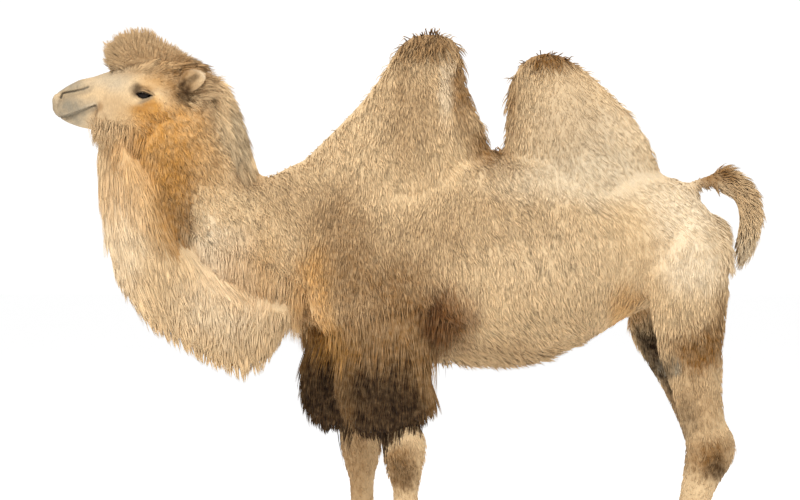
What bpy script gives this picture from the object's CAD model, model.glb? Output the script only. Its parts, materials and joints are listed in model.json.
# %% [markdown]
# # A Bactrian camel in its woolly coat
# The solids of this camel reach out to the tips of its coat. This lesson gives them their looks.
# One skin takes the place of the flesh, the head is sculpted, and the wool, the short face hair
# and the long hair grow on the skin as thousands of thin closed locks.
# The camel looks along -X, its left side is at -Y, and the floor is at Z = 0.

import itertools
import json
import math

import bmesh
import bpy
import numpy as np
import openvdb
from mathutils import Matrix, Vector
from mathutils.bvhtree import BVHTree
from mathutils.kdtree import KDTree

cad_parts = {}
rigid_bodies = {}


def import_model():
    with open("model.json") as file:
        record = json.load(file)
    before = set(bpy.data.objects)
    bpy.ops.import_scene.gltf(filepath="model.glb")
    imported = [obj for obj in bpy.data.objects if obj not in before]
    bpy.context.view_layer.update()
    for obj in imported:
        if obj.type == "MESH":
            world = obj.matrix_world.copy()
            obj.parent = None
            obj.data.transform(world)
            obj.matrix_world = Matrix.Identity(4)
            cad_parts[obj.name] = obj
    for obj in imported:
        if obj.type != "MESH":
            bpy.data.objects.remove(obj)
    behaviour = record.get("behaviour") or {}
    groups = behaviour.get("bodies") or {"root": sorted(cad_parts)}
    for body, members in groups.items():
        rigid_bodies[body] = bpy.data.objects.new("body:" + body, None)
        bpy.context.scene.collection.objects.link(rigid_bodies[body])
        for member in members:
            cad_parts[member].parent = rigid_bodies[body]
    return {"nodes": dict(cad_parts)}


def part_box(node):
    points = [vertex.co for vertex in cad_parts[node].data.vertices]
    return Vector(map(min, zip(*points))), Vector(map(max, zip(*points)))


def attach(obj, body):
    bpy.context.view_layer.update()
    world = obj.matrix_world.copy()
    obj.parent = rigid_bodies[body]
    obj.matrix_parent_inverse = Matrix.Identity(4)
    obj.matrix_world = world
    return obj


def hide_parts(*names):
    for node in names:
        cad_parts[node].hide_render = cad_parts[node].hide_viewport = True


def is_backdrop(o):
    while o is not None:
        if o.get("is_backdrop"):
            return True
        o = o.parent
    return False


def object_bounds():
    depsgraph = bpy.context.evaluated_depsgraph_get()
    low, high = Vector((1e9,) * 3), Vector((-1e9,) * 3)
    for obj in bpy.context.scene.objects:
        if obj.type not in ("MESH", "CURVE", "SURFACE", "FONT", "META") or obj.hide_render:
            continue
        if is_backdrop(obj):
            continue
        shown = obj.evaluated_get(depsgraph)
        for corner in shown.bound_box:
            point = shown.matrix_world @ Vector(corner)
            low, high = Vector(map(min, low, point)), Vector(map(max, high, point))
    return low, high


for leftover in list(bpy.data.objects):
    bpy.data.objects.remove(leftover)
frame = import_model()
NODES = frame["nodes"]
cad_low, cad_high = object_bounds()
print("solids", len(NODES), "box", [round(high - low, 3) for low, high in zip(cad_low, cad_high)])

# %% [markdown]
# ## A plan of the animal
# Places on the body are easiest to name on a side plan in millimetres. The plan's X grows towards
# the tail and its Z grows upwards, and the eye ties the plan to the solids.

# %% Plan coordinates and small helpers
EYE_X = -907  # the eye's place along the plan
MM = 1000
eye_low, eye_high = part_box("left_eye")
EYE = np.array([EYE_X, MM * abs(eye_low.y + eye_high.y) / 2, MM * (eye_low.z + eye_high.z) / 2])
EYE_RADIUS = MM * (eye_high.x - eye_low.x) / 2
PLAN_SHIFT = np.array([EYE_X - MM * (eye_low.x + eye_high.x) / 2, 0, 0])
LEFT, RIGHT = -1, 1


def plan(points):
    """Millimetres on the plan, from metres in the frame."""
    return np.asarray(points, float) * MM + PLAN_SHIFT


def metres(points):
    """Metres in the frame, from millimetres on the plan."""
    return (np.asarray(points, float) - PLAN_SHIFT) / MM


def ease(low, high, value):
    """0 below low, 1 above high, and a soft step between them."""
    share = np.clip((value - low) / (high - low), 0, 1)
    return share * share * (3 - 2 * share)


def unit(vectors):
    return vectors / np.maximum(np.linalg.norm(vectors, axis=-1, keepdims=True), 1e-9)


HASH_PRIMES = (73856093, 19349663, 83492791)
HASH_MIX = 1274126177
HASH_MASK = 0x7FFFFFFF


def noise(points, size, seed):
    """Smooth random values from -1 to 1, in bumps about as large as size."""
    scaled = points / size + seed * 17.31
    cell = np.floor(scaled).astype(np.int64)
    share = scaled - cell
    share = share * share * (3 - 2 * share)
    total = np.zeros(len(points))
    for corner in itertools.product((0, 1), repeat=3):
        key = (cell + corner) * HASH_PRIMES
        mixed = (key[:, 0] ^ key[:, 1] ^ key[:, 2]) & HASH_MASK
        mixed = ((mixed ^ (mixed >> 13)) * HASH_MIX) & HASH_MASK
        mixed = mixed ^ (mixed >> 16)
        weight = np.prod(np.where(corner, share, 1 - share), axis=1)
        total += weight * (mixed / (HASH_MASK / 2) - 1)
    return total


def near_line(points, line):
    """How far points on the side plan are from a line of plan points, and on which side (above is +)."""
    flat = points[:, [0, 2]]
    best = np.full(len(points), 1e9)
    above = np.zeros(len(points))
    along = np.zeros(len(points))
    for index, (start, end) in enumerate(itertools.pairwise(np.asarray(line, float))):
        step = end - start
        share = np.clip((flat - start) @ step / (step @ step), 0, 1)
        gap = flat - start - share[:, None] * step
        distance = np.linalg.norm(gap, axis=1)
        closer = distance < best
        best = np.where(closer, distance, best)
        above = np.where(closer, np.sign(gap[:, 1] * step[0] - gap[:, 0] * step[1]) * np.sign(step[0]), above)
        along = np.where(closer, (index + share) / (len(line) - 1), along)
    return best, above, along


def gap_to(points, line):
    """How far points on the side plan are from a line of plan points."""
    return near_line(points, line)[0]


def from_place(points, place):
    """How far points on the side plan are from a place, an X and a Z."""
    return np.hypot(points[:, 0] - place[0], points[:, 2] - place[1])


def bell(distance, width):
    """1 in the middle, falling smoothly to nothing beyond about twice the width."""
    return np.exp(-((distance / width) ** 2))


# %% [markdown]
# Skin and coat are made from arrays of points and triangles, which is far quicker than adding faces
# one by one. A few helpers turn arrays into meshes and back, and even out values over a surface.

# %% Meshes from arrays
def new_mesh(name, points, faces):
    """A mesh of triangles or four-sided faces from arrays of points (in metres) and corners."""
    mesh = bpy.data.meshes.new(name)
    sides = faces.shape[1]
    mesh.vertices.add(len(points))
    mesh.vertices.foreach_set("co", np.asarray(points, np.float32).ravel())
    mesh.loops.add(faces.size)
    mesh.loops.foreach_set("vertex_index", faces.astype(np.int32).ravel())
    mesh.polygons.add(len(faces))
    mesh.polygons.foreach_set("loop_start", np.arange(0, faces.size, sides, dtype=np.int32))
    mesh.update(calc_edges=True)
    mesh.polygons.foreach_set("use_smooth", np.ones(len(faces), bool))
    return mesh


def new_piece(name, mesh):
    piece = bpy.data.objects.new(name, mesh)
    bpy.context.scene.collection.objects.link(piece)
    return piece


def mesh_points(mesh):
    points = np.zeros(len(mesh.vertices) * 3, np.float32)
    mesh.vertices.foreach_get("co", points)
    return points.reshape(-1, 3).astype(float)


def mesh_triangles(mesh):
    mesh.calc_loop_triangles()
    corners = np.zeros(len(mesh.loop_triangles) * 3, np.int32)
    mesh.loop_triangles.foreach_get("vertices", corners)
    return corners.reshape(-1, 3)


def mesh_edges(mesh):
    ends = np.zeros(len(mesh.edges) * 2, np.int32)
    mesh.edges.foreach_get("vertices", ends)
    return ends.reshape(-1, 2)


def point_normals(points, triangles):
    """Normals of the points, each the mean of the faces round it."""
    a, b, c = (points[triangles[:, k]] for k in range(3))
    face = np.cross(b - a, c - a)
    total = np.zeros_like(points)
    for corner in range(3):
        for axis in range(3):
            total[:, axis] += np.bincount(triangles[:, corner], face[:, axis], len(points))
    return unit(total)


def spread(values, edges, rounds, amount=0.5):
    """Evens values out over a mesh: each moves towards the mean of its neighbours."""
    one_column = values.ndim == 1
    table = values[:, None].copy() if one_column else values.copy()
    count = len(table)
    shares = sum(np.bincount(edges[:, end], minlength=count) for end in (0, 1))
    shares = np.maximum(shares, 1)
    strength = amount if np.ndim(amount) == 0 else np.asarray(amount)
    for _ in range(rounds):
        for axis in range(table.shape[1]):
            column = table[:, axis]
            total = np.bincount(edges[:, 0], column[edges[:, 1]], count)
            total += np.bincount(edges[:, 1], column[edges[:, 0]], count)
            table[:, axis] = column + strength * (total / shares - column)
    return table[:, 0] if one_column else table


def smooth_shape(points, edges, rounds, amount=0.5, back=0.53):
    """Evens out a surface and gives back the size that this takes from it."""
    for _ in range(rounds):
        points = spread(points, edges, 1, amount)
        points = spread(points, edges, 1, -back if np.ndim(amount) == 0 else -amount * back / 0.5)
    return points


# %% [markdown]
# ## One skin for the flesh
# Under its coat a camel has one unbroken skin. The nodes of flesh are swollen by a hair's breadth so
# that they run into each other, and a distance field finds the one surface round them all. The skin
# lies inside that surface by the depth of the coat: 25 mm on the trunk and humps, less on the legs
# and neck, and 3 or 4 mm on the face, ears and feet. The field is softened, so no seam is left.

# %% Join the flesh nodes and sink the skin under the coat
HAIR_NODES = ["beard", "forelock", "nape_mane", "left_forearm_hair", "right_forearm_hair"]
FLESH = [name for name in NODES if name not in HAIR_NODES and not name.endswith(("_eye", "_nail"))]
SWELL = 1.2  # millimetres
VOXEL = 5
BAND = 7  # voxels on each side of the surface that the field measures
BODY_SHARE = 0.085  # of the body's faces that stay when it is thinned


def clean_copy(node):
    """A node's points on the plan, its point normals and its faces, with split corners merged."""
    shape = bmesh.new()
    shape.from_mesh(NODES[node].data)
    bmesh.ops.remove_doubles(shape, verts=shape.verts, dist=1e-5)
    bmesh.ops.triangulate(shape, faces=shape.faces)
    shape.verts.index_update()
    points = plan([vert.co for vert in shape.verts])
    faces = np.array([[vert.index for vert in face.verts] for face in shape.faces])
    shape.free()
    return points, point_normals(points, faces), faces


def merged(nodes, swell):
    """The points and faces of several nodes in one list."""
    all_points, all_faces, base = [], [], 0
    for node in nodes:
        points, normals, faces = clean_copy(node)
        all_points.append(points + normals * swell)
        all_faces.append(faces + base)
        base += len(points)
    return np.concatenate(all_points), np.concatenate(all_faces)


def outer_surface(points, faces):
    """The one surface round solids that overlap, as points and four-sided faces."""
    grid_place = openvdb.createLinearTransform(VOXEL)
    grid = openvdb.FloatGrid.createLevelSetFromPolygons(
        points.astype(np.float32), triangles=faces.astype(np.uint32), transform=grid_place, halfWidth=3
    )
    surface_points, _, quads = grid.convertToPolygons(0, 0)
    return surface_points, quads


def distance_grid(points, quads):
    """A grid of how far each cell is from the surface. Inside is negative."""
    return openvdb.FloatGrid.createLevelSetFromPolygons(
        points, quads=quads, transform=openvdb.createLinearTransform(VOXEL), halfWidth=BAND
    )


def cells_round(points):
    """The first cell and the number of cells of the block that holds all the points."""
    first = np.floor(points.min(0) / VOXEL).astype(int) - 3
    return first, np.ceil(points.max(0) / VOXEL).astype(int) + 3 - first


def block_of(grid, first, size):
    field = np.empty(size, np.float32)
    grid.copyToArray(field, ijk=tuple(int(cell) for cell in first))
    return field


def soften(field, step):
    """Each cell takes half its value from the cells so many steps away along each axis."""
    for axis in range(3):
        turned = np.moveaxis(field, axis, 0)
        mixed = turned.copy()
        mixed[step:-step] = turned[step:-step] / 2 + (turned[2 * step :] + turned[: -2 * step]) / 4
        field = np.moveaxis(mixed, 0, axis)
    return field


def surface_of(field, first):
    """The points and faces where a field is zero."""
    grid = openvdb.FloatGrid(float(BAND * VOXEL))
    grid.copyFromArray(np.ascontiguousarray(field), ijk=tuple(int(cell) for cell in first), tolerance=0.01)
    grid.transform = openvdb.createLinearTransform(VOXEL)
    points, _, quads = grid.convertToPolygons(0, 0)
    return points.astype(float), quads


def in_head(points):
    """1 on the head and ears, 0 on the body, soft between."""
    x, z = points[:, 0], points[:, 2]
    return ease(-640, -690, x) * ease(1610, 1660, z + 0.35 * (x + 900))


def in_leg(points):
    """1 on the legs below the body, 0 on the body."""
    x, z = points[:, 0], points[:, 2]
    return np.maximum(ease(160, 110, x), ease(760, 820, x)) * ease(1060, 860, z) * ease(-520, -440, x)


def in_tail(points):
    return ease(1060, 1110, points[:, 0]) * ease(1200, 1230, points[:, 2] + 0.6 * (points[:, 0] - 1150))


def in_ear(points):
    """1 on the part of an ear that stands out from the head."""
    x, y, z = points.T
    return ease(92, 104, np.abs(y)) * ease(-815, -800, x) * ease(1835, 1850, z) * in_head(points)


COAT = {"body": 25, "neck": 16, "leg": 15, "foot": 3, "tail": 15, "face": 4.5, "ear": 2.5}  # millimetres
LEG_THINNING = 6  # millimetres less coat lower on the leg


def coat_depth(points):
    """How thick the coat lies on the skin, in millimetres."""
    x, _, z = points.T
    depth = COAT["body"] - (COAT["body"] - COAT["neck"]) * ease(-420, -640, x)
    more, legs = COAT["body"] - COAT["leg"], in_leg(points)
    depth = np.minimum(depth, COAT["body"] - more * legs - LEG_THINNING * ease(860, 640, z) * legs)
    depth = np.minimum(depth, COAT["leg"] + more * ease(500, 640, z))
    depth = depth - (depth - COAT["foot"]) * ease(640, 180, z)
    depth += (COAT["tail"] - depth) * in_tail(points)
    depth += (COAT["face"] - depth) * in_head(points)
    return depth + (COAT["ear"] - depth) * in_ear(points)


joined_points, joined_quads = outer_surface(*merged(FLESH, SWELL))
first_cell, block_size = cells_round(joined_points)
field = block_of(distance_grid(joined_points, joined_quads), first_cell, block_size)
fine_field = soften(field, 1)
soft_field = fine_field
for step in (1, 2, 3):
    soft_field = soften(soft_field, step)
band = np.nonzero(np.abs(field) < (BAND - 0.5) * VOXEL)
band_places = (np.stack(band, axis=1) + first_cell) * float(VOXEL)
detail = np.maximum(in_head(band_places), ease(230, 170, band_places[:, 2]))
field[band] = detail * fine_field[band] + (1 - detail) * soft_field[band] + coat_depth(band_places)
skin_field = field
skin_plan, skin_quads = surface_of(skin_field, first_cell)
print("joined surface", len(joined_points), "points, skin", len(skin_plan), "points")


# %% [markdown]
# The body's surface lies under wool and needs few triangles, while the head and feet need all of
# theirs. So the thinning falls on the body alone, and crumbs that come loose are dropped.

# %% Thin the body's surface, where the wool hides it
def evaluated(piece):
    """The piece's mesh with its modifiers applied. The piece itself is removed."""
    made = piece.evaluated_get(bpy.context.evaluated_depsgraph_get())
    mesh = bpy.data.meshes.new_from_object(made)
    bpy.data.objects.remove(piece)
    return mesh


blank = new_piece("blank", new_mesh("blank", metres(skin_plan), skin_quads))
body_group = blank.vertex_groups.new(name="body")
on_body = np.flatnonzero(np.maximum(in_head(skin_plan), ease(100, 70, skin_plan[:, 2])) < 0.5)
body_group.add(on_body.tolist(), 1.0, "REPLACE")
thin = blank.modifiers.new("thin", "DECIMATE")
thin.ratio = 1 - (1 - BODY_SHARE) * len(on_body) / len(skin_plan)
thin.vertex_group = "body"
thin.use_collapse_triangulate = True
skin_mesh = evaluated(blank)
print("skin thinned to", len(skin_mesh.vertices), "points")


def largest_part(mesh):
    """Drops the crumbs that aren't joined to the largest part of a mesh."""
    edges = mesh_edges(mesh)
    part = np.arange(len(mesh.vertices))
    while (part[edges[:, 0]] != part[edges[:, 1]]).any():
        lowest = np.minimum(part[edges[:, 0]], part[edges[:, 1]])
        np.minimum.at(part, part[edges[:, 0]], lowest)
        np.minimum.at(part, part[edges[:, 1]], lowest)
        while (part[part] != part).any():
            part = part[part]
    return part == np.bincount(part).argmax()


kept = largest_part(skin_mesh)
if not kept.all():
    shape = bmesh.new()
    shape.from_mesh(skin_mesh)
    crumbs = [vert for vert in shape.verts if not kept[vert.index]]
    bmesh.ops.delete(shape, geom=crumbs, context="VERTS")
    shape.to_mesh(skin_mesh)
    shape.free()
print("crumbs dropped", int((~kept).sum()))


# %% [markdown]
# ## The head
# The muzzle, lips, nostrils and lids are folds of the skin, so they are sculpted into it. The skin is
# split finely round them first. Each fold is a line or place on the side plan, and pushes the skin
# out or in along its normal.

# %% Split the skin finely round the face
NOSTRIL = [(-1200, 1832), (-1196, 1849), (-1178, 1852), (-1150, 1856), (-1120, 1863), (-1106, 1869)]
MOUTH = [(-1212, 1765), (-1190, 1767), (-1160, 1774), (-1118, 1788), (-1080, 1803)]
MOUTH_CORNER = (-1077, 1803)
CORNER_CREASE = [(-1077, 1803), (-1071, 1785), (-1079, 1760)]
UPPER_LID = [(-931, 1841), (-924, 1846), (-914, 1848.5), (-903, 1847), (-890, 1841), (-876, 1836.5)]
LID_CREASE = [(-925, 1853), (-905, 1858), (-884, 1850), (-868, 1838)]
LOWER_LID = [(-931, 1841), (-922, 1831), (-908, 1825), (-895, 1827), (-885, 1832), (-876, 1836.5)]
BROW = [(-948, 1853), (-925, 1872), (-885, 1878), (-850, 1862)]
TEAR_PIT = (-946, 1846)
UNDER_EYE = [(-938, 1830), (-912, 1811), (-884, 1818), (-866, 1832)]
FOLDS = [NOSTRIL, MOUTH, CORNER_CREASE, UPPER_LID, LOWER_LID]
EYE_PLACE = (EYE[0], EYE[2])
MUZZLE_MIDDLE = (-1160, 1812)
ROUND_MUZZLE, ROUND_EYE, ROUND_FOLD = 104, 48, 9  # millimetres


def by_face_parts(points):
    """Which points lie on the muzzle or round an eye."""
    muzzle = from_place(points, MUZZLE_MIDDLE) < ROUND_MUZZLE
    eye = from_place(points, EYE_PLACE) < ROUND_EYE
    return muzzle | (eye & (np.abs(points[:, 1]) > 40))


def by_folds(points):
    """Which points lie close to a lip, a nostril or the edge of a lid."""
    lips = np.min([gap_to(points, fold) for fold in FOLDS], axis=0) < ROUND_FOLD
    split = (points[:, 0] < -1180) & (np.abs(points[:, 1]) < 32) & (points[:, 2] > 1760)
    return by_face_parts(points) & ((lips & (np.abs(points[:, 1]) > 15)) | split)


def split_where(mesh, wanted):
    """Splits in two each edge whose ends are both wanted."""
    shape = bmesh.new()
    shape.from_mesh(mesh)
    chosen = wanted(plan([vert.co for vert in shape.verts]))
    edges = [edge for edge in shape.edges if chosen[edge.verts[0].index] and chosen[edge.verts[1].index]]
    bmesh.ops.subdivide_edges(shape, edges=edges, cuts=1, use_grid_fill=True)
    bmesh.ops.triangulate(shape, faces=shape.faces)
    shape.to_mesh(mesh)
    shape.free()


split_where(skin_mesh, by_face_parts)
split_where(skin_mesh, by_folds)
skin_points = mesh_points(skin_mesh)
skin_edges = mesh_edges(skin_mesh)
skin_faces = mesh_triangles(skin_mesh)
head_share = in_head(plan(skin_points))
skin_points = smooth_shape(skin_points, skin_edges, 6, 0.5 * ease(0.5, 0.9, head_share))
print("skin with a fine face", len(skin_points), "points,", len(skin_faces), "triangles")

# %% [markdown]
# A camel's upper lip is split and each half moves alone. Above it the nostril closes to a slit under
# a rolled flap, which keeps out sand. The lower lip hangs a little back from the upper one.

# %% Sculpt the muzzle
LIP_SPLIT_Y = -13  # the split shows a little on the near side, as the head is turned slightly
LIP_FOLDS = [  # rise, middle above the mouth and width in millimetres, then the shares of the mouth's
    # length where the fold ends and where it is full
    (8.0, 26, 19, 1.02, 0.6),  # the pad of the upper lip
    (5.0, 6, 6, 1.02, 0.8),  # its rim
    (6.0, -26, 13, 0.95, 0.3),  # the lower lip
]
FLAP_RISE, NOSE_TIP_RISE = 10.0, 3.5  # millimetres, as are all below
UNDER_FLAP_DROP, UNDER_LIP_DROP, PAD_DENT = 3.0, 8.0, 4.0
PAD_DENT_PLACE = (-1108, 1835)
CHEEK_PLACE, CHEEK_RISE, CHEEK_WIDTH = (-1000, 1745), 5, 48
HOLLOW_PLACE, HOLLOW_DROP, HOLLOW_WIDTH = (-1050, 1760), 3, 22
SLIT_DEPTH, SPLIT_DEPTH, CORNER_DEPTH, CREASE_DEPTH, GROOVE_WIDTH = 9, 7, 6, 4.5, 2.6


def push(points, amounts):
    """Moves the skin along its evened normals by so many millimetres."""
    normals = unit(spread(point_normals(points, skin_faces), skin_edges, 3))
    return points + normals * (amounts / MM)[:, None]


on_plan = plan(skin_points)
side_share = ease(14, 30, np.abs(on_plan[:, 1]))
muzzle = ease(-1050, -1090, on_plan[:, 0]) * head_share
gap, above, along = near_line(on_plan, NOSTRIL)
flap = bell(gap * above - 17, 14) * ease(-1092, -1125, on_plan[:, 0])
nostril_shape = FLAP_RISE * flap - UNDER_FLAP_DROP * bell(gap * above + 5, 8) * ease(1.0, 0.7, along)
gap, above, along = near_line(on_plan, MOUTH)
lips = np.zeros(len(on_plan))
for rise, middle, wide, end, full in LIP_FOLDS:
    lips += rise * bell(gap * above - middle, wide) * ease(end, full, along)
lips -= UNDER_LIP_DROP * bell(gap * above + 7, 7) * ease(0.05, 0.3, along) * ease(1.0, 0.9, along)
lips -= PAD_DENT * bell(from_place(on_plan, PAD_DENT_PLACE), 24)
front = ease(-1196, -1212, on_plan[:, 0]) * ease(1768, 1780, on_plan[:, 2]) * ease(1850, 1835, on_plan[:, 2])
cheek = CHEEK_RISE * bell(from_place(on_plan, CHEEK_PLACE), CHEEK_WIDTH)
cheek -= HOLLOW_DROP * bell(from_place(on_plan, HOLLOW_PLACE), HOLLOW_WIDTH)
muzzle_shape = side_share * (nostril_shape + lips) + NOSE_TIP_RISE * front
skin_points = push(skin_points, muzzle_shape * muzzle + cheek * head_share)

on_plan = plan(skin_points)
gap, _, along = near_line(on_plan, NOSTRIL)
slit_depth = SLIT_DEPTH * ease(1.05, 0.5, along) * side_share * bell(gap, GROOVE_WIDTH)
gap, _, along = near_line(on_plan, MOUTH)
mouth_depth = (5 + 3 * along) * bell(gap, GROOVE_WIDTH) * ease(-1214, -1205, on_plan[:, 0])
corner_depth = CORNER_DEPTH * bell(from_place(on_plan, MOUTH_CORNER), 6)
gap, _, along = near_line(on_plan, CORNER_CREASE)
crease_depth = CREASE_DEPTH * bell(gap, 4) * ease(1.1, 0.6, along)
split = bell(on_plan[:, 1] - LIP_SPLIT_Y, 3.2) * ease(-1180, -1200, on_plan[:, 0])
split *= ease(1764, 1774, on_plan[:, 2]) * ease(1838, 1822, on_plan[:, 2])
grooves = slit_depth + mouth_depth + corner_depth + crease_depth + SPLIT_DEPTH * split
skin_points = push(skin_points, -grooves * muzzle)
print("muzzle sculpted, deepest groove", round(grooves.max(), 1), "mm")

# %% [markdown]
# The lids are drawn over the eyeball. Near the eye the skin stands on a ball a little larger than the
# eyeball, and inside the opening it drops behind the eyeball's surface. The upper lid is heavy and
# droops towards the rear corner. A brow ridge runs above it.

# %% Sculpt the eyes
LID_THICKNESS = 2.5
BEHIND_EYE = 5.0
LID_SOFTNESS = 9.0


def height_on(line, x):
    """The height of a line of plan points at each x."""
    line = np.asarray(line, float)
    return np.interp(x, line[:, 0], line[:, 1])


def lid_shape(points):
    """The skin round both eyes, draped over the eyeballs and opened between the lids."""
    on_plan = plan(points)
    x, y, z = on_plan.T
    from_eye = from_place(on_plan, EYE_PLACE)
    near = head_share * ease(60, 30, from_eye) * (np.abs(y) > 35)
    brow_gap = gap_to(on_plan, BROW)
    lid_gap = gap_to(on_plan, LID_CREASE)
    under_gap = gap_to(on_plan, UNDER_EYE)
    upper, lower = height_on(UPPER_LID, x), height_on(LOWER_LID, x)
    outward = 5 * bell(brow_gap, 10) - 2 * bell(from_place(on_plan, TEAR_PIT), 14)
    half = np.abs(y) + outward * near
    mound = EYE_RADIUS + LID_THICKNESS
    lid = EYE[1] + mound - from_eye**2 / (2 * mound)
    over = np.clip((lid - half + LID_SOFTNESS) / (2 * LID_SOFTNESS), 0, 1)
    draped = half + over * (lid - half) + LID_SOFTNESS * over * (1 - over)
    heavy = 2.5 * bell(z - upper - 6, 6) * ease(-934, -915, x) * ease(-872, -885, x)
    folds = 2.2 * bell(lid_gap, 2.2) + 1.6 * bell(under_gap, 2.6)
    half = half + (draped - half + heavy - folds) * near
    between_corners = (x > UPPER_LID[0][0]) & (x < UPPER_LID[-1][0])
    inside = np.where(between_corners, np.minimum(upper - z, z - lower), -EYE_RADIUS)
    behind = EYE[1] + np.sqrt(np.maximum((EYE_RADIUS - BEHIND_EYE) ** 2 - from_eye**2, 0)) * 0.8
    opening = ease(-0.2, 1.0, inside) * near
    half = half + opening * (np.minimum(half, behind) - half)
    return metres(np.column_stack([x, np.sign(y) * half, z]))


skin_points = lid_shape(skin_points)

# %% [markdown]
# A camel's ear is a short furred cup. A shallow groove on its outer face is enough to show that.

# %% Hollow out the ears
EAR_HOLLOW = [(-772, 1858), (-748, 1882), (-722, 1898)]
EAR_DEPTH, EAR_WIDTH = 9, 11  # millimetres

on_plan = plan(skin_points)
gap = gap_to(on_plan, EAR_HOLLOW)
outer_face = ease(-0.2, 0.3, point_normals(skin_points, skin_faces)[:, 1] * np.sign(on_plan[:, 1]))
skin_points = push(skin_points, -EAR_DEPTH * bell(gap, EAR_WIDTH) * outer_face * in_ear(on_plan))
skin_mesh.vertices.foreach_set("co", skin_points.astype(np.float32).ravel())
skin_mesh.update()
print("eyes", EYE.round(1), "radius", round(EYE_RADIUS, 1), "mm")


# %% [markdown]
# ## Markings
# A marking is a soft patch at a named place on the side plan. Skin and coat read the same markings, so
# the colour runs on where the wool parts. There are six pigments over the beige ground: cream, brown,
# gold, dark brown, grey and the reddish tan of the thin-haired places.

# %% Markings by place
MARKS = {  # pigment: centre X and Z, reach along X and Z, and strength of each of its patches
    "cream": [
        (-1120, 1770, 120, 55, 0.15), (-1150, 1752, 50, 18, 0.45), (-1030, 1890, 70, 45, 0.6),
        (-1010, 1380, 90, 250, 0.55), (-640, 1130, 170, 120, 0.55), (-640, 1320, 110, 90, 0.8),
        (-330, 1120, 40, 90, 0.3), (150, 1860, 30, 110, 0.7), (740, 1690, 120, 130, 0.5),
        (640, 1545, 330, 90, 0.7), (560, 1730, 140, 170, 0.35), (960, 1440, 140, 110, 0.9),
        (480, 1300, 260, 130, 0.15), (980, 1260, 120, 110, 0.85), (1175, 1270, 60, 100, 0.7),
    ],
    "brown": [
        (-1020, 1775, 80, 80, 0.3), (-1110, 1830, 160, 110, 0.13), (-1185, 1812, 50, 34, 0.22),
        (-1190, 1770, 34, 12, 0.35), (-1078, 1795, 18, 22, 0.6), (-905, 1788, 60, 28, 0.85),
        (-890, 1945, 150, 44, 0.45), (-930, 2020, 170, 60, 0.4), (-840, 1915, 70, 36, 0.45),
        (-770, 1900, 60, 55, 0.6), (-900, 1858, 50, 18, 0.5), (-870, 1870, 60, 26, 0.25),
        (-792, 1850, 36, 60, 0.6), (-800, 1490, 75, 170, 0.8), (-870, 1420, 40, 120, 0.35),
        (-210, 1330, 120, 190, 0.6), (-120, 1150, 130, 150, 0.55), (0, 1180, 120, 120, 0.6),
        (-350, 1480, 160, 90, 0.3), (80, 2035, 130, 60, 0.75), (20, 1780, 110, 180, 0.4),
        (197, 1890, 34, 150, 0.8), (-10, 1960, 26, 110, 0.3), (240, 1730, 40, 90, 0.4),
        (290, 1650, 80, 70, 0.8), (490, 1995, 150, 62, 0.95), (362, 1860, 40, 140, 0.6),
        (570, 1760, 130, 150, 0.2), (60, 1330, 160, 110, 0.3), (300, 1420, 200, 120, 0.2),
        (150, 1080, 85, 110, 0.85), (330, 960, 190, 50, 0.3), (30, 1060, 110, 90, 0.75),
        (-200, 1040, 60, 70, 0.5), (1000, 975, 110, 90, 0.95), (1090, 1060, 60, 120, 0.6),
        (990, 780, 110, 110, 0.5), (1050, 590, 80, 80, 0.9), (-20, 560, 80, 80, 0.8),
        (-190, 560, 80, 190, 0.65), (1070, 1560, 70, 50, 0.85), (1170, 1510, 60, 60, 0.3),
        (0, 300, 2000, 160, 0.3), (0, 60, 2000, 70, 0.5), (-560, 1560, 60, 60, 0.45),
        (-700, 1790, 40, 60, 0.5),
    ],
    "gold": [
        (-880, 1765, 100, 60, 0.6), (-830, 1735, 110, 95, 0.6), (-860, 1640, 120, 90, 0.5),
        (-720, 1700, 60, 90, 0.4), (-950, 1690, 90, 40, 0.45), (-880, 1890, 60, 30, 0.3),
        (-860, 1500, 90, 120, 0.35), (-760, 1600, 130, 110, 0.4), (-560, 1250, 130, 130, 0.3),
        (-1000, 1560, 80, 120, 0.35), (-320, 1170, 80, 170, 0.6), (-250, 1010, 90, 70, 0.55),
        (760, 1120, 60, 70, 0.5),
    ],
    "dark": [
        (-936, 1860, 24, 15, 0.75), (-905, 1818, 30, 8, 0.35), (-778, 1856, 22, 40, 0.75),
        (130, 1070, 75, 90, 0.5), (100, 1120, 16, 60, 0.6), (870, 905, 50, 50, 0.8),
        (1075, 555, 45, 50, 0.7), (960, 700, 30, 120, 0.4), (-5, 545, 50, 50, 0.45),
    ],
    "grey": [
        (-1030, 1895, 70, 40, 0.3), (-1165, 1875, 60, 26, 0.8), (-1175, 1800, 80, 46, 0.95),
        (-1155, 1748, 40, 22, 0.5), (-905, 1822, 30, 10, 0.5), (650, 1570, 240, 110, 0.2),
        (560, 1730, 150, 170, 0.18), (925, 900, 22, 26, 0.9), (1180, 1320, 60, 110, 0.2),
        (-590, 1730, 50, 150, 0.45),
    ],
    "rust": [
        (-905, 1792, 40, 20, 0.3), (150, 1110, 90, 90, 0.35),
    ],
}
PIGMENTS = tuple(MARKS)
PATCH_CORE, PATCH_END = 0.35, 1.5  # shares of a patch's reach where it is full and where it ends
PATCH_WAVE, PATCH_WAVE_SIZE = 22, 60  # millimetres by which the edges of the patches wander
EAR_HOLLOW_FRONT = [(-782, 1838), (-778, 1862), (-764, 1880)]
EAR_RIM = [(-795, 1890), (-780, 1915), (-745, 1930), (-708, 1920), (-692, 1898)]
EAR_ROOT_Y = 72  # millimetres from the middle of the head to the roots of the ears


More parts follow.
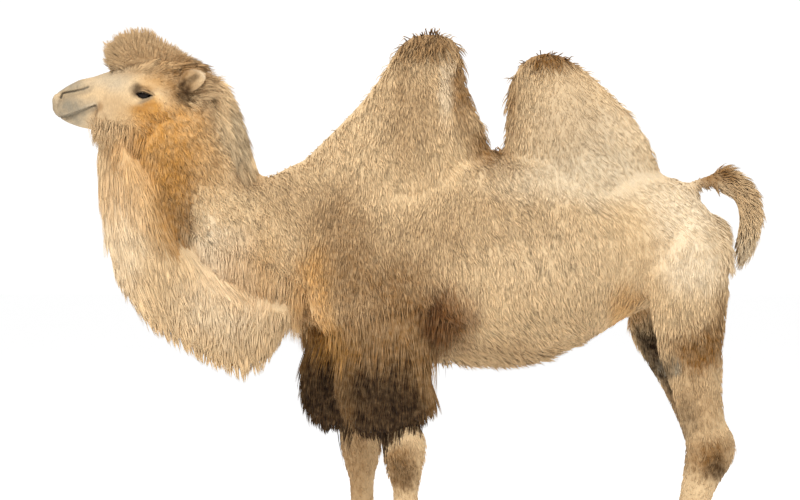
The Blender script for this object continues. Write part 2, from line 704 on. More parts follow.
def markings(points):
    """How strong each pigment is at points on the plan, one column for each."""
    wavy = points + PATCH_WAVE * np.column_stack([noise(points, PATCH_WAVE_SIZE, seed) for seed in (3, 4, 5)])
    left = np.ones((len(points), len(PIGMENTS)))
    for column, patches in enumerate(MARKS.values()):
        for x, z, reach_x, reach_z, strength in patches:
            distance = np.hypot((wavy[:, 0] - x) / reach_x, (wavy[:, 2] - z) / reach_z)
            left[:, column] *= 1 - strength * ease(PATCH_END, PATCH_CORE, distance)
    marks = 1 - left
    x, y, z = points.T
    between_legs = ease(165, 115, np.abs(y)) * ease(1080, 1010, z) * ease(770, 810, x) * ease(700, 850, z)
    darken(marks, 0.92 * between_legs)
    ear = in_ear(points)
    before_ear = bell(gap_to(points, EAR_HOLLOW_FRONT), 15) * (np.abs(y) > EAR_ROOT_Y) * in_head(points)
    darken(marks, 0.85 * before_ear)
    darken(marks, 0.6 * bell(gap_to(points, EAR_HOLLOW), 12) * ear)
    rim = bell(gap_to(points, EAR_RIM), 9) * ear
    marks[:, 0] = np.maximum(marks[:, 0], 0.6 * rim)
    return marks


def darken(marks, amount):
    """Raises the dark pigment to at least so much."""
    raise_mark(marks, "dark", amount)


def raise_mark(marks, pigment, amount):
    column = marks[:, PIGMENTS.index(pigment)]
    np.maximum(column, amount, out=column)


print("markings", sum(len(patches) for patches in MARKS.values()), "patches of", len(PIGMENTS), "pigments")

# %% [markdown]
# ## The lie of the coat
# Hair lies backwards from the nose, down the neck and sides, and down the legs. The lie is set at
# places on the side plan as an angle below the straight line to the tail. In between it turns
# smoothly, and small waves keep it from looking combed.

# %% The lie of the coat by place
LIE = [  # X, Z, angle in degrees: 0 is towards the tail, 90 is straight down
    (-1180, 1860, -15), (-1160, 1800, 10), (-1130, 1740, 25), (-1040, 1900, -20), (-1020, 1800, 25),
    (-990, 1700, 60), (-920, 1900, -10), (-900, 1800, 50), (-870, 1720, 75), (-840, 1900, 10),
    (-820, 1800, 60), (-1035, 1932, -125), (-960, 1945, -105), (-880, 1945, -80), (-805, 1930, -50),
    (-760, 1900, 25), (-760, 1700, 62), (-700, 1550, 66), (-620, 1700, 50), (-600, 1450, 62),
    (-500, 1300, 70), (-420, 1500, 55), (-330, 1150, 80), (-200, 1400, 78), (-300, 1650, 62),
    (-120, 1150, 88), (-120, 1800, 75), (60, 1950, 84), (60, 1700, 84),
    (200, 1850, 95), (250, 1600, 75), (60, 1400, 82), (250, 1200, 78),
    (420, 1000, 68), (500, 880, 40), (450, 1400, 76), (450, 1850, 80), (650, 1850, 70), (700, 1600, 62),
    (750, 1200, 78), (900, 1480, 52), (1060, 1450, 60), (960, 1200, 88), (980, 900, 92), (1050, 600, 88),
    (960, 300, 92), (-40, 800, 92), (0, 500, 90), (-10, 300, 92), (-60, 60, 140), (930, 60, 140),
]
TAIL_LINE = np.array(
    [(957, 1524), (1019, 1536), (1071, 1549), (1115, 1549), (1156, 1524), (1187, 1479), (1201, 1426),
     (1196, 1368), (1183, 1314), (1172, 1263), (1160, 1200)], float
)


LIE_SOFTNESS = 35  # millimetres round a place within which its angle hardly changes


def lie_angle(points):
    """The angle below the line to the tail, in radians, from the nearest places."""
    places = np.array(LIE, float)
    total = np.zeros((len(points), 2))
    for x, z, degrees in places:
        away = (points[:, 0] - x) ** 2 + (points[:, 2] - z) ** 2 + LIE_SOFTNESS**2
        weight = away**-2
        angle = math.radians(degrees)
        total += weight[:, None] * (math.cos(angle), math.sin(angle))
    return np.arctan2(total[:, 1], total[:, 0])


def lie_of_coat(points, normals):
    """The way the hair lies along the skin at each point on the plan, as unit vectors."""
    angle = lie_angle(points)
    lie = np.column_stack([np.cos(angle), np.zeros(len(points)), -np.sin(angle)])
    tail = in_tail(points)
    gaps = np.linalg.norm(points[:, None, [0, 2]] - (TAIL_LINE[:-1] + TAIL_LINE[1:]) / 2, axis=2)
    steps = np.diff(TAIL_LINE, axis=0)[gaps.argmin(axis=1)]
    along_tail = unit(np.column_stack([steps[:, 0], np.zeros(len(points)), steps[:, 1]]))
    lie = np.where(tail[:, None] > 0.5, along_tail, lie)
    outwards = np.broadcast_to([0.7, 0.0, 0.35], points.shape).copy()
    outwards[:, 1] = 0.5 * np.sign(points[:, 1])
    lie = np.where(in_ear(points)[:, None] > 0.5, outwards, lie)
    falls_aside = ease(0.35, 0.9, normals[:, 2]) * (1 - tail) * (1 - 0.7 * in_head(points))
    lie[:, 1] += np.sign(points[:, 1]) * 1.1 * falls_aside
    lie -= normals * np.sum(lie * normals, axis=1, keepdims=True)
    lie = unit(lie)
    side = np.cross(normals, lie)
    waves = 0.24 * noise(points, 140, 11) + 0.2 * noise(points, 45, 12)
    waves = (waves * (1 - 0.6 * in_head(points)))[:, None]
    return unit(lie * np.cos(waves) + side * np.sin(waves))


# %% [markdown]
# ## How a lock is made
# A lock of wool is a thin closed horn with three sides: rings that taper to a point, bent along the
# lie of the coat. Neighbouring locks lean together into small clumps, as greasy camel wool does.
# All the locks of a piece are made at once from arrays and joined into one mesh.

# %% Grow locks on a surface
PATCH = 0.003  # a lock's patch on the unwrap of the surface it grows on
BURIED = 2.0  # millimetres of each root that are under the skin
RING = np.radians([90, 210, 330])


def scatter(points, faces, normals, count, thickness_of, rng):
    """Roots spread over a surface: their places, normals, faces and shares of the corners."""
    a, b, c = (points[faces[:, k]] for k in range(3))
    area = np.linalg.norm(np.cross(b - a, c - a), axis=1) / 2
    weight = np.cumsum(area * thickness_of((a + b + c) / 3))
    chosen = np.searchsorted(weight, (np.arange(count) + rng.random(count)) / count * weight[-1])
    chosen = np.minimum(chosen, len(faces) - 1)
    one, two = np.sqrt(rng.random(count)), rng.random(count)
    shares = np.column_stack([1 - one, one * (1 - two), one * two])
    corners = faces[chosen]
    place = np.einsum("nk,nkx->nx", shares, points[corners])
    normal = unit(np.einsum("nk,nkx->nx", shares, normals[corners]))
    return place, normal, chosen, shares


def clump_centres(roots, every, rng):
    """For each root, the index of the nearest of a few roots that lead a clump."""
    leaders = np.sort(rng.choice(len(roots), max(len(roots) // every, 1), replace=False))
    tree = KDTree(len(leaders))
    for index, leader in enumerate(leaders):
        tree.insert(roots[leader], index)
    tree.balance()
    return leaders[[tree.find(root)[1] for root in roots.tolist()]]


def locks(roots, normals, lie, length, width, rings, rng, *, lift=0.45, settle=0.05, curl=0.0, hang=0.0,
          clump=0.0, every=6, flat=0.55, taper=1.5, turns=1.0, floor=None):
    """The points of all the locks, (lock, point, axis) on the plan, and how far along each point is."""
    count = len(roots)
    shares = np.linspace(0, 1, rings + 1)
    side = unit(np.cross(normals, lie))
    spot = roots - normals * BURIED
    line = [spot]
    start = rng.random(count) * 2 * math.pi
    for share in (shares[:-1] + shares[1:]) / 2:
        rise = np.broadcast_to(lift * (1 - share) ** 1.3 + settle, count)
        way = lie * np.cos(rise)[:, None] + normals * np.sin(rise)[:, None]
        way = way + side * (curl * np.sin(2 * math.pi * turns * share + start))[:, None]
        way[:, 2] -= hang * share
        spot = spot + unit(way) * (length / rings)[:, None]
        line.append(spot)
    line = np.stack(line, axis=1)
    if np.any(clump):
        leaders = clump_centres(roots, every, rng)
        pull = np.reshape(clump, (-1, 1, 1)) * (shares**1.4)[None, :, None]
        line = line + pull * (line[leaders] - line)
    if floor is not None:
        line[:, :, 2] = np.maximum(line[:, :, 2], floor)
    tangent = unit(np.gradient(line, axis=1))
    across = unit(np.cross(tangent, normals[:, None, :]))
    up = np.cross(across, tangent)
    narrow = (1 - shares[:-1] ** taper)[None, :]
    half = width[:, None] / 2 * narrow * (0.75 + 0.25 * np.minimum(shares[:-1] * 4, 1))
    rings_of = [
        line[:, :-1] + half[..., None] * (math.cos(angle) * across + flat * math.sin(angle) * up)[:, :-1]
        for angle in RING
    ]
    body = np.stack(rings_of, axis=2).reshape(count, rings * 3, 3)
    return np.concatenate([body, line[:, -1:]], axis=1), np.append(np.repeat(shares[:-1], 3), 1.0)


def lock_faces(rings):
    """The triangles of one closed lock with so many rings and a tip."""
    faces = [(2, 1, 0)]
    for ring in range(rings - 1):
        for corner in range(3):
            here, there = 3 * ring + corner, 3 * ring + (corner + 1) % 3
            faces += [(here, there, there + 3), (here, there + 3, here + 3)]
    last = 3 * (rings - 1)
    faces += [(last + corner, last + (corner + 1) % 3, 3 * rings) for corner in range(3)]
    return np.array(faces)


def lock_mesh(name, shape, along, root_uv, marks, shade):
    """One mesh of all the locks, with its patches on the unwrap, its markings and its shading."""
    count, per_lock, _ = shape.shape
    rings = (per_lock - 1) // 3
    faces = (lock_faces(rings)[None] + np.arange(count)[:, None, None] * per_lock).reshape(-1, 3)
    mesh = new_mesh(name, metres(shape.reshape(-1, 3)), faces)
    corner = np.append(np.tile([0.0, 0.5, 1.0], rings), 0.5)
    patch = np.column_stack([corner, along]) * PATCH
    uv = (root_uv[:, None, :] + patch[None]).reshape(-1, 2)
    layer = mesh.uv_layers.new(name="OFBake")
    layer.data.foreach_set("uv", uv[faces.ravel()].astype(np.float32).ravel())
    add_values(mesh, "marks_a", np.repeat(marks[:, :3], per_lock, axis=0))
    add_values(mesh, "marks_b", np.repeat(marks[:, 3:], per_lock, axis=0))
    lock = np.stack([np.tile(along, (count, 1)), np.repeat(shade[:, None], per_lock, 1),
                     np.tile(corner, (count, 1))], axis=2)
    add_values(mesh, "lock", lock.reshape(-1, 3))
    return mesh


def add_values(mesh, name, values):
    attribute = mesh.attributes.new(name, "FLOAT_VECTOR", "POINT")
    attribute.data.foreach_set("vector", values.astype(np.float32).ravel())


# %% [markdown]
# The skin is unwrapped over its own shape, so that each lock can take the spot of the skin at its
# root. Then the markings are laid on it, with the dark edges of the lids, lips and nostrils.

# %% Unwrap the skin
def unwrap(piece):
    """Unwraps a piece over its own shape into islands, as OFBake."""
    piece.data.uv_layers.new(name="OFBake")
    bpy.context.view_layer.objects.active = piece
    piece.select_set(True)
    bpy.ops.object.mode_set(mode="EDIT")
    bpy.ops.mesh.select_all(action="SELECT")
    bpy.ops.uv.smart_project(angle_limit=math.radians(66), island_margin=0.002)
    bpy.ops.object.mode_set(mode="OBJECT")
    piece.select_set(False)


def surface_arrays(piece):
    """A piece's points on the plan, its triangles, normals, and the unwrap of each corner."""
    points, faces = plan(mesh_points(piece.data)), mesh_triangles(piece.data)
    loops = np.zeros(len(piece.data.loop_triangles) * 3, np.int32)
    piece.data.loop_triangles.foreach_get("loops", loops)
    uv = np.zeros(len(piece.data.loops) * 2, np.float32)
    piece.data.uv_layers["OFBake"].data.foreach_get("uv", uv)
    return points, faces, point_normals(points, faces), uv.reshape(-1, 2)[loops].reshape(-1, 3, 2)


skin = new_piece("skin", skin_mesh)
skin_mesh.polygons.foreach_set("use_smooth", np.ones(len(skin_mesh.polygons), bool))
unwrap(skin)
SKIN = surface_arrays(skin)
skin_marks = markings(SKIN[0])
CAVITY_ROUNDS = 24  # how far round itself the skin looks for its hollows
CAVITY_DEPTH = 5.0  # millimetres of hollow that look fully dark
DARK_LINES = [  # line, half its width, strength
    (NOSTRIL, 5.0, 0.97), (MOUTH, 4.2, 0.93), (CORNER_CREASE, 4.5, 0.5), (UPPER_LID, 4.4, 0.98),
    (LOWER_LID, 3.8, 0.93), (LID_CREASE, 3.6, 0.6),
]
for line, wide, amount in DARK_LINES:
    darken(skin_marks, amount * bell(gap_to(SKIN[0], line), wide) * in_head(SKIN[0]))
muzzle = ease(-1050, -1090, SKIN[0][:, 0]) * in_head(SKIN[0])
for line, offset, wide, pigment, amount in (
    (NOSTRIL, -13, 10, "dark", 0.28), (MOUTH, -9, 8, "dark", 0.35), (MOUTH, 8, 5, "cream", 0.7),
    (MOUTH, 26, 14, "grey", 0.3), (NOSTRIL, 18, 10, "cream", 0.35),
):
    gap, above, _ = near_line(SKIN[0], line)
    raise_mark(skin_marks, pigment, amount * bell(gap * above - offset, wide) * muzzle)
skin_edges = mesh_edges(skin_mesh)
hollows = np.sum((spread(SKIN[0], skin_edges, CAVITY_ROUNDS) - SKIN[0]) * SKIN[2], axis=1)
darken(skin_marks, np.clip(hollows / CAVITY_DEPTH, 0, 0.6) * in_head(SKIN[0]))
add_values(skin_mesh, "marks_a", skin_marks[:, :3])
add_values(skin_mesh, "marks_b", skin_marks[:, 3:])
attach(skin, "root")
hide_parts(*FLESH)
print("skin unwrapped,", len(SKIN[1]), "triangles")


def grow_coat(name, surface, count, thickness_of, settings_of, slot_name, seed, pieces=1):
    """Grows locks on a surface and joins them in so many pieces, from the head to the tail."""
    rng = np.random.default_rng(seed)
    points, faces, normals, uv = surface
    roots, root_normals, chosen, shares = scatter(points, faces, normals, count, thickness_of, rng)
    root_uv = np.einsum("nk,nkx->nx", shares, uv[chosen])
    order = np.argsort(roots[:, 0] if pieces > 1 else np.arange(count))
    made = []
    for number, part in enumerate(np.array_split(order, pieces), 1):
        settings = settings_of(roots[part], root_normals[part], rng)
        marks = markings(roots[part]) if "marks" not in settings else settings.pop("marks")
        shade = settings.pop("shade", rng.random(len(part)))
        shape, along = locks(roots[part], root_normals[part], rng=rng, **settings)
        label = name if pieces == 1 else f"{name}_{number}"
        piece = new_piece(label, lock_mesh(label, shape, along, root_uv[part], marks, shade))
        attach(piece, "root")
        piece.data.materials.append(MATERIALS[slot_name])
        made.append(piece)
    print(name, count, "locks,", sum(len(piece.data.polygons) for piece in made), "triangles")
    return made


# %% [markdown]
# ## Materials
# Every hairy surface uses one graph: the beige ground, the six pigments laid over it by the markings,
# and for a lock also a darker root, its own shade and fine streaks that run along it as hairs do.

# %% Helpers for node graphs
def srgb(red, green, blue):
    """A colour for a shader socket from its usual 0 to 255 values."""
    channels = [value / 255 for value in (red, green, blue)]
    return tuple(v / 12.92 if v <= 0.04045 else ((v + 0.055) / 1.055) ** 2.4 for v in channels) + (1.0,)


GROUND = srgb(225, 194, 150)
PIGMENT_COLOURS = {
    "cream": srgb(240, 219, 186), "brown": srgb(136, 93, 42), "gold": srgb(208, 150, 70),
    "dark": srgb(42, 25, 10), "grey": srgb(148, 136, 115), "rust": srgb(150, 96, 52),
}


class Graph:
    """A material's nodes, with one short method for each kind of node that the camel needs."""

    def __init__(self, name, roughness, sheen=0.0, coat=0.0, specular=0.3):
        self.material = bpy.data.materials.new(name)
        self.material.use_nodes = True
        self.tree = self.material.node_tree
        self.shader = self.tree.nodes["Principled BSDF"]
        self.shader.inputs["Roughness"].default_value = roughness
        self.shader.inputs["Sheen Weight"].default_value = sheen
        self.shader.inputs["Coat Weight"].default_value = coat
        self.shader.inputs["Specular IOR Level"].default_value = specular

    def node(self, kind, **settings):
        made = self.tree.nodes.new(kind)
        for key, value in settings.items():
            setattr(made, key, value)
        return made

    def link(self, source, target):
        self.tree.links.new(source, target)
        return target.node

    def place(self):
        return self.node("ShaderNodeTexCoord").outputs["Object"]

    def attribute(self, name):
        split = self.node("ShaderNodeSeparateXYZ")
        self.link(self.node("ShaderNodeAttribute", attribute_name=name).outputs["Vector"], split.inputs[0])
        return split.outputs

    def mix(self, share, first, second, blend="MIX"):
        made = self.node("ShaderNodeMix", data_type="RGBA", blend_type=blend)
        for socket, value in ((made.inputs[0], share), (made.inputs[6], first), (made.inputs[7], second)):
            if isinstance(value, bpy.types.NodeSocket):
                self.link(value, socket)
            else:
                socket.default_value = value
        return made.outputs[2]

    def noise(self, scale, detail=3.0, vector=None, roughness=0.55):
        made = self.node("ShaderNodeTexNoise")
        made.inputs["Scale"].default_value = scale
        made.inputs["Detail"].default_value = detail
        made.inputs["Roughness"].default_value = roughness
        self.link(vector or self.place(), made.inputs["Vector"])
        return made.outputs["Fac"]

    def scaled(self, vector, scale):
        made = self.node("ShaderNodeMapping")
        made.inputs["Scale"].default_value = scale
        self.link(vector, made.inputs["Vector"])
        return made.outputs["Vector"]

    def span(self, value, low, high, to_low, to_high):
        made = self.node("ShaderNodeMapRange")
        self.link(value, made.inputs["Value"])
        for socket, number in zip(("From Min", "From Max", "To Min", "To Max"), (low, high, to_low, to_high)):
            made.inputs[socket].default_value = number
        return made.outputs["Result"]

    def maths(self, operation, first, second):
        made = self.node("ShaderNodeMath", operation=operation)
        for socket, value in zip(made.inputs, (first, second)):
            if isinstance(value, bpy.types.NodeSocket):
                self.link(value, socket)
            else:
                socket.default_value = value
        return made.outputs[0]

    def grey(self, level):
        made = self.node("ShaderNodeCombineColor")
        for socket in made.inputs[:3]:
            self.link(level, socket)
        return made.outputs[0]

    def bump(self, height, distance, strength=0.6):
        made = self.node("ShaderNodeBump")
        made.inputs["Distance"].default_value = distance
        made.inputs["Strength"].default_value = strength
        self.link(height, made.inputs["Height"])
        self.link(made.outputs["Normal"], self.shader.inputs["Normal"])

    def finish(self, colour):
        self.link(colour, self.shader.inputs["Base Color"])
        return self.material


def marked_colour(graph):
    """The ground colour with the six pigments over it, broken up by a fine noise."""
    strengths = [*graph.attribute("marks_a"), *graph.attribute("marks_b")]
    colour = GROUND
    speckle = graph.span(graph.noise(46, 4), 0.3, 0.7, 0.72, 1.15)
    for name, strength in zip(PIGMENTS, strengths):
        share = graph.maths("MULTIPLY", strength, speckle)
        colour = graph.mix(graph.maths("MINIMUM", share, 1.0), colour, PIGMENT_COLOURS[name])
    return colour


# %% [markdown]
# A lock of hair is darker near its root, where little light gets in, and no two locks are alike. So
# the graph reads how far along its lock a point is and the lock's own shade, and adds fine streaks.

# %% Wool, short hair and long hair
def lock_material(name, root_shade, low_shade, high_shade, roughness, streaks=0.12):
    """Locks: darker at the root, each with its own shade, and streaked along their length."""
    graph = Graph(name, roughness, sheen=0.03, specular=0.06)
    along, shade, across = graph.attribute("lock")
    darker = graph.span(along, 0.0, 0.6, root_shade, 1.0)
    own = graph.span(shade, -1.0, 1.0, low_shade, high_shade)
    hairs = graph.node("ShaderNodeCombineXYZ")
    graph.link(graph.maths("MULTIPLY", across, 5.0), hairs.inputs[0])
    graph.link(graph.maths("MULTIPLY", shade, 90.0), hairs.inputs[1])
    graph.link(graph.maths("MULTIPLY", along, 1.5), hairs.inputs[2])
    streak = graph.noise(2.2, 2, hairs.outputs[0])
    streaked = graph.span(streak, 0.25, 0.75, 1 - streaks, 1 + streaks)
    level = graph.maths("MULTIPLY", graph.maths("MULTIPLY", darker, own), streaked)
    graph.bump(streak, 0.0015, 0.4)
    return graph.finish(graph.mix(1.0, marked_colour(graph), graph.grey(level), "MULTIPLY"))


def skin_material():
    """The skin between the locks: short under-wool, and the velvet of the muzzle and lids."""
    graph = Graph("under_wool", 0.85, sheen=0.06, specular=0.1)
    fine = graph.noise(1.0, 4, graph.scaled(graph.place(), (260, 260, 90)))
    velvet = graph.noise(900, 2)
    graph.bump(graph.mix(0.5, fine, velvet), 0.002, 0.6)
    shade = graph.grey(graph.span(fine, 0.3, 0.72, 0.64, 0.86))
    return graph.finish(graph.mix(1.0, marked_colour(graph), shade, "MULTIPLY"))


MATERIALS = {
    "woolly_coat": lock_material("wool", 0.74, 0.5, 1.06, 0.9),
    "leg_coat": lock_material("leg_hair", 0.74, 0.52, 1.06, 0.85),
    "face_coat": lock_material("face_hair", 0.85, 0.66, 1.04, 0.85),
    "long_pale_hair": lock_material("pale_hair", 0.82, 0.6, 1.06, 0.8),
    "long_dark_hair": lock_material("dark_hair", 0.8, 0.26, 1.06, 0.75),
}
SKIN_MATERIAL = skin_material()
skin_mesh.materials.append(SKIN_MATERIAL)


# %% [markdown]
# ## A core of dense under-hair
# A Bactrian camel's long hair hangs from the throat and neck, the nape, the crown and the forearms.
# A core of dense under-hair fills these masses. It is the solids of flesh and hair together, shrunk,
# with all that lies well inside the skin taken away. Each of its faces belongs to the nearest of the
# hair solids, so each mass of long hair knows where its roots are.

# %% The core, and which hair solid each part of it belongs to
CORE_DEPTH = 20.0  # millimetres from the outline of the long hair to its core
CORE_OVERLAP = 12.0  # how far the core runs on under the skin
CORE_REACH = 24.0  # how far the core runs on beside the hair solids
CORE_SHARE = 0.22  # of its faces that stay when it is thinned

hair_points, hair_quads = outer_surface(*merged(HAIR_NODES, 0))
core_first, core_size = cells_round(hair_points)
full_points, full_quads = outer_surface(*merged(FLESH + HAIR_NODES, SWELL))
core_field = block_of(distance_grid(full_points, full_quads), core_first, core_size)
for step in (1, 2):
    core_field = soften(core_field, step)
hair_field = block_of(distance_grid(hair_points, hair_quads), core_first, core_size)
skin_grid = openvdb.FloatGrid(float(BAND * VOXEL))
skin_grid.copyFromArray(np.ascontiguousarray(skin_field), ijk=tuple(int(cell) for cell in first_cell))
skin_block = block_of(skin_grid, core_first, core_size)
core_field = np.maximum(core_field + CORE_DEPTH, hair_field - CORE_REACH)
core_field = np.maximum(core_field, -skin_block - CORE_OVERLAP).astype(np.float32)
core_plan, core_quads = surface_of(soften(core_field, 1), core_first)
blank = new_piece("blank", new_mesh("blank", metres(core_plan), core_quads))
thin = blank.modifiers.new("thin", "DECIMATE")
thin.ratio = CORE_SHARE
thin.use_collapse_triangulate = True
core = new_piece("under_hair", evaluated(blank))
unwrap(core)
core.data.materials.append(SKIN_MATERIAL)
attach(core, "root")
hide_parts(*HAIR_NODES)
CORE = surface_arrays(core)


def solid_tree(nodes):
    points, faces = merged(nodes, 0)
    return BVHTree.FromPolygons(points.tolist(), faces.tolist())


def height_over(tree, points):
    """How far points are outside a closed surface. Inside is negative."""
    heights = []
    for point in points.tolist():
        place, normal, _, distance = tree.find_nearest(Vector(point))
        heights.append(math.copysign(distance, (Vector(point) - place).dot(normal)))
    return np.array(heights)


def middles(surface):
    return surface[0][surface[1]].mean(axis=1)


SKIN_TREE = BVHTree.FromPolygons(SKIN[0].tolist(), SKIN[1].tolist())
CORE_TREE = BVHTree.FromPolygons(CORE[0].tolist(), CORE[1].tolist())
HAIR_TREES = [solid_tree([node]) for node in HAIR_NODES]
OUTLINE_TREE = BVHTree.FromPolygons(full_points.tolist(), full_quads.tolist())
core_middles = middles(CORE)
core_outside = height_over(SKIN_TREE, core_middles) > -2
distances = [[tree.find_nearest(Vector(place))[3] for place in core_middles.tolist()] for tree in HAIR_TREES]
core_owner = np.argmin(distances, axis=0)
print("hair core", len(CORE[1]), "triangles,", int(core_outside.sum()), "of them outside the skin")


# %% [markdown]
# The hair of the forearms is nearly black, with a tan rear edge. It has markings of its own, because
# those of the side plan at that place are the pale ones of the chest and legs.

# %% The core's markings: the forearms' hair is dark
SLEEVE_TAN_EDGE = 75  # millimetres behind the middle of a sleeve
FAR_LEG_FORWARD = 120  # the right foreleg stands so far before the left one


def sleeve_marks(points, forward):
    """Markings of a sleeve: very dark, with a tan rear edge and a browner top."""
    marks = markings(points)
    x, _, z = (points + (forward, 0, 0)).T
    dark = ease(1030, 880, z) * (1 - 0.75 * ease(10, SLEEVE_TAN_EDGE, x - 0.25 * (900 - z)))
    dark *= 1 - 0.5 * ease(-150, -200, x) * (forward == 0)
    darken(marks, np.clip(dark * (1 + 0.2 * noise(points, 45, 51)), 0, 1) * 0.93)
    raise_mark(marks, "brown", 0.85 * ease(1120, 1020, z))
    return marks


MARKS_OF = {
    "left_forearm_hair": lambda points: sleeve_marks(points, 0),
    "right_forearm_hair": lambda points: sleeve_marks(points, FAR_LEG_FORWARD),
}
point_owner = np.zeros(len(CORE[0]), int)
for corner in range(3):
    point_owner[CORE[1][:, corner]] = core_owner
core_marks = markings(CORE[0])
for node, marks_of in MARKS_OF.items():
    mine = point_owner == HAIR_NODES.index(node)
    core_marks[mine] = marks_of(CORE[0][mine])
add_values(core.data, "marks_a", core_marks[:, :3])
add_values(core.data, "marks_b", core_marks[:, 3:])


# %% [markdown]
# ## Wool on the body
# Short wool covers the neck, trunk, humps and thighs in locks 3 to 8 cm long. It parts in fine wavy
# lines that run down the sides, where the locks are short and dark. It is longest under the belly and
# on the crests of the humps, and short and pale on the rump.

# %% Wool
def partings(points):
    """1 in the thin wavy lines where the wool parts, 0 elsewhere."""
    stretched = points * (1, 1, 0.33)
    ridge = 1 - np.abs(noise(stretched, 26, 21) + 0.5 * noise(stretched, 11, 22))
    return ease(0.8, 0.97, ridge)


JAW_CORNER = (-850, 1725)  # where the neck's long wool runs onto the head


def on_trunk(points):
    """1 where wool grows: on the body, the neck and round the corners of the jaw."""
    latch = bell(from_place(points, JAW_CORNER), 85)
    bare_head = in_head(points) * (1 - latch)
    other = np.maximum.reduce([bare_head, in_leg(points), in_tail(points), ease(700, 650, points[:, 2])])
    return (1 - ease(0.3, 0.7, other)) * in_the_open


def wool_settings(points, normals, rng):
    x, _, z = points.T
    count = len(points)
    crest = np.where(x > 300, ease(1880, 1970, z), ease(1930, 2010, z)) * ease(-300, -200, x)
    ridge = ease(0.6, 0.2, np.abs(normals[:, 1])) * ease(1540, 1680, z) * ease(-400, -300, x)
    belly = ease(990, 900, z) * ease(60, 120, x) * ease(720, 600, x)
    sleek = np.maximum(ease(600, 780, x) * ease(1120, 1270, z), ease(400, 500, x) * ease(1430, 1560, z))
    neck = ease(-420, -520, x)
    parted = partings(points) * (1 - 0.9 * sleek)
    streaks = noise(points * (1, 1, 0.22), 11, 24)
    deep = 1.3 + 0.5 * neck
    length = 46 + 14 * crest + 8 * ridge + 24 * belly - 12 * sleek
    length *= (1 + 0.2 * noise(points, 40, 23)) * (0.75 + 0.5 * rng.random(count)) * (1 - 0.3 * parted)
    return {
        "lie": lie_of_coat(points, normals),
        "length": length,
        "width": 5.5 + 2.5 * rng.random(count),
        "rings": 2,
        "lift": 0.42 - 0.22 * sleek - 0.2 * parted + 0.2 * crest + 0.2 * ridge,
        "settle": 0.04 + (0.06 + 0.16 * ridge) * rng.random(count),
        "curl": 0.28 + 0.4 * neck,
        "hang": 0.25 * belly,
        "clump": 0.35 * np.ones(count),
        "every": 5,
        "shade": 0.5 + (1 - 0.5 * sleek) * (0.5 * rng.random(count) + 0.5 * streaks) - deep * parted,
    }


SHARE = 1.0  # of all the locks


def number_of(locks_wanted):
    return int(locks_wanted * SHARE)


skin_middles = middles(SKIN)
in_the_open = (height_over(CORE_TREE, skin_middles) > -6).astype(float)
print("skin faces under the long hair", int((in_the_open < 1).sum()))
grow_coat("wool", SKIN, number_of(51000), on_trunk, wool_settings, "woolly_coat", 1, pieces=4)


# %% [markdown]
# ## Short hair on the legs, tail and face
# The legs carry short flat hair, longer and curlier on the knee and hock. On the face it shortens to
# velvet at the muzzle and leaves the lips, nostrils and lids bare. The tail is a brush of longer locks.

# %% Legs and tail
def on_legs(points):
    ready = np.maximum(in_leg(points), ease(700, 650, points[:, 2]))
    return ease(0.3, 0.7, ready) * ease(8, 30, points[:, 2]) * (1 - in_head(points)) * (1 - in_tail(points))


def leg_settings(points, normals, rng):
    x, _, z = points.T
    count = len(points)
    knee = bell(z - 560, 70) * ease(100, 40, np.abs(x + 10))
    hock = bell(z - 590, 70) * ease(60, 0, np.abs(x - 1040))
    joint = np.maximum(knee, hock)
    length = 12 + 14 * ease(330, 640, z) + 12 * ease(700, 950, z) + 6 * joint
    length = length * (0.7 + 0.6 * rng.random(count)) - 4 * ease(150, 60, z)
    return {
        "lie": lie_of_coat(points, normals),
        "length": length,
        "width": 3.2 + 0.11 * length * (0.8 + 0.4 * rng.random(count)),
        "rings": 2,
        "lift": 0.4 + 0.35 * joint,
        "settle": 0.05,
        "curl": 0.25 + 0.6 * joint,
        "clump": 0.4 * np.ones(count),
        "shade": np.clip(0.3 + 0.7 * rng.random(count) + 0.25 * noise(points, 25, 31), 0, 1),
        "floor": 1.0,
    }


def tail_settings(points, normals, rng):
    count = len(points)
    near_tip = ease(1420, 1260, points[:, 2]) * ease(1130, 1180, points[:, 0])
    return {
        "lie": lie_of_coat(points, normals),
        "length": (52 + 26 * near_tip) * (0.7 + 0.6 * rng.random(count)),
        "width": 5.5 + 3 * rng.random(count),
        "rings": 3,
        "lift": 0.5,
        "settle": 0.12,
        "curl": 0.25,
        "clump": 0.4 * np.ones(count),
        "shade": rng.random(count),
    }


grow_coat("leg_hair", SKIN, number_of(14000), on_legs, leg_settings, "leg_coat", 2)
grow_coat("tail_hair", SKIN, number_of(2400), in_tail, tail_settings, "woolly_coat", 3)


# %% [markdown]
# On the face the hair is short and fine, and none grows on the lips, nostrils and lids. It is longer
# on the jaw and the crown, where it runs over into the long hair.

# %% Face
THROAT_LATCH = (-840, 1735)
BARE_PLACES = [(NOSTRIL, 5, 9), (MOUTH, 4, 8), (UPPER_LID, 2, 6), (LOWER_LID, 5, 10)]


def on_face(points):
    """1 where short hair grows on the head, 0 on bare places."""
    hairy = in_head(points)
    for line, bare, hair in BARE_PLACES:
        hairy = hairy * ease(bare, hair, gap_to(points, line))
    x, _, z = points.T
    in_eye = (z < height_on(UPPER_LID, x)) & (z > height_on(LOWER_LID, x))
    in_eye &= (x > UPPER_LID[0][0]) & (x < UPPER_LID[-1][0])
    crown = ease(1900, 1935, points[:, 2]) * ease(-1060, -1020, points[:, 0])
    latch = bell(from_place(points, THROAT_LATCH), 70)
    crowded = 1 + crown + latch - 0.4 * ease(-900, -800, points[:, 0]) * (1 - in_ear(points))
    return hairy * crowded * ~in_eye


